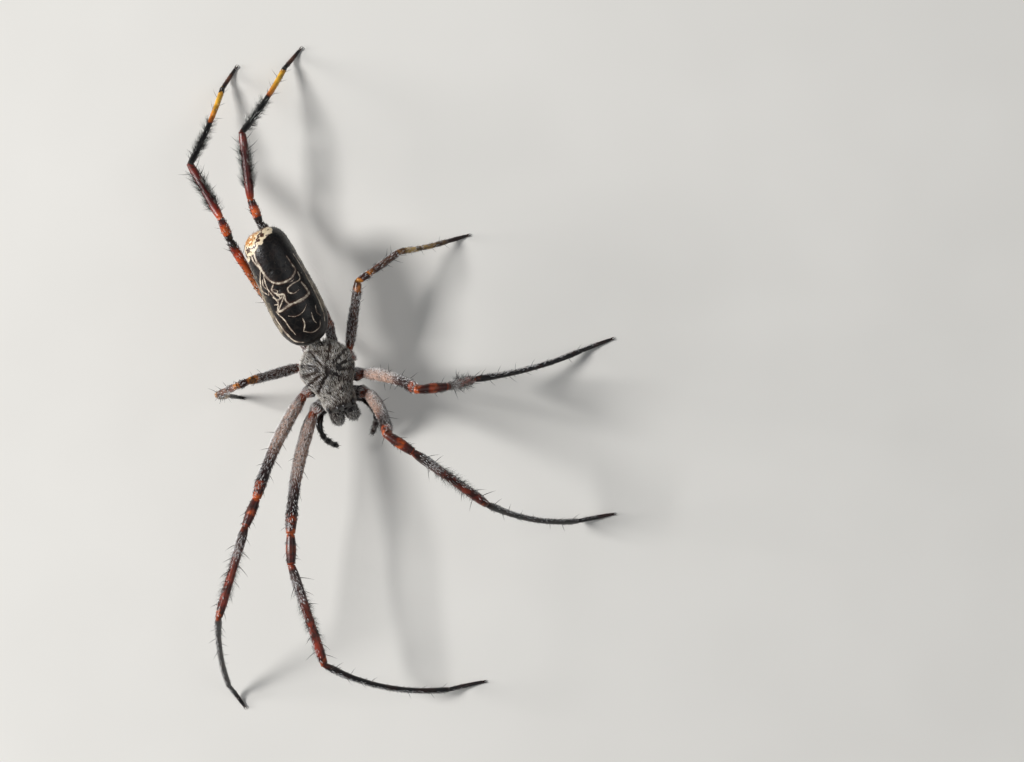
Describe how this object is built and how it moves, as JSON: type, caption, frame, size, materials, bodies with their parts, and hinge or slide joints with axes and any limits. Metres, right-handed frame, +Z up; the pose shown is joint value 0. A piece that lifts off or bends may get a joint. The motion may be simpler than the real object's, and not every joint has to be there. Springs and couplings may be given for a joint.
{
  "type": "golden silk orb weaver",
  "caption": "Life-size museum model of a female golden silk orb weaver, a long-legged spider, standing still on its feet with bristly banded legs.",
  "frame": {"origin": "on the floor, under the middle of the spider's footprint box", "axes": "+Z up, the head looks towards -Y and the abdomen points towards +Y, the spider's left side is +X"},
  "size_m": [0.04, 0.055, 0.0151],
  "materials": {
    "carapace": "black-brown cuticle under a pelt of short silvery white hair",
    "sternum": "black-brown cuticle with tan patches and pale edges to the hip pieces",
    "abdomen": "thin soft skin, cream and tan above with a brown net, black below with a pale net",
    "spinnerets": "short dark brown hairy cones",
    "chelicera": "hard glossy black cuticle",
    "palp": "glossy black cuticle with black bristles",
    "coxa": "dark brown cuticle with an orange ring at the outer end",
    "femur": "pinkish tan to orange-brown cuticle under short white hairs, darker at the far end",
    "patella": "red-orange cuticle with dark rings",
    "tibia": "dark red cuticle with a fringe of stiff black bristles",
    "metatarsus": "black bristly cuticle, banded yellow on the hind legs",
    "tarsus": "dark brown to black cuticle, finely haired",
    "claw": "glossy black hooked claws",
    "eye": "smooth glossy black lenses",
    "hair_pale": "short silvery white hairs that lie along the skin",
    "bristle_dark": "stiff black tapering bristles and spines"
  },
  "bodies": {
    "root": {"carapace": "carapace", "sternum": "sternum", "mouthparts": "sternum", "pedicel": "sternum", "abdomen": "abdomen", "spinnerets": "spinnerets", "chelicera_left": "chelicera", "chelicera_right": "chelicera", "palp_left": "palp", "palp_right": "palp", "leg_1_left_coxa": "coxa", "leg_1_left_femur": "femur", "leg_1_left_patella": "patella", "leg_1_left_tibia": "tibia", "leg_1_left_metatarsus": "metatarsus", "leg_1_left_tarsus": "tarsus", "leg_2_left_coxa": "coxa", "leg_2_left_femur": "femur", "leg_2_left_patella": "patella", "leg_2_left_tibia": "tibia", "leg_2_left_metatarsus": "metatarsus", "leg_2_left_tarsus": "tarsus", "leg_3_left_coxa": "coxa", "leg_3_left_femur": "femur", "leg_3_left_patella": "patella", "leg_3_left_tibia": "tibia", "leg_3_left_metatarsus": "metatarsus", "leg_3_left_tarsus": "tarsus", "leg_4_left_coxa": "coxa", "leg_4_left_femur": "femur", "leg_4_left_patella": "patella", "leg_4_left_tibia": "tibia", "leg_4_left_metatarsus": "metatarsus", "leg_4_left_tarsus": "tarsus", "leg_1_right_coxa": "coxa", "leg_1_right_femur": "femur", "leg_1_right_patella": "patella", "leg_1_right_tibia": "tibia", "leg_1_right_metatarsus": "metatarsus", "leg_1_right_tarsus": "tarsus", "leg_2_right_coxa": "coxa", "leg_2_right_femur": "femur", "leg_2_right_patella": "patella", "leg_2_right_tibia": "tibia", "leg_2_right_metatarsus": "metatarsus", "leg_2_right_tarsus": "tarsus", "leg_3_right_coxa": "coxa", "leg_3_right_femur": "femur", "leg_3_right_patella": "patella", "leg_3_right_tibia": "tibia", "leg_3_right_metatarsus": "metatarsus", "leg_3_right_tarsus": "tarsus", "leg_4_right_coxa": "coxa", "leg_4_right_femur": "femur", "leg_4_right_patella": "patella", "leg_4_right_tibia": "tibia", "leg_4_right_metatarsus": "metatarsus", "leg_4_right_tarsus": "tarsus"}
  },
  "joints": []
}
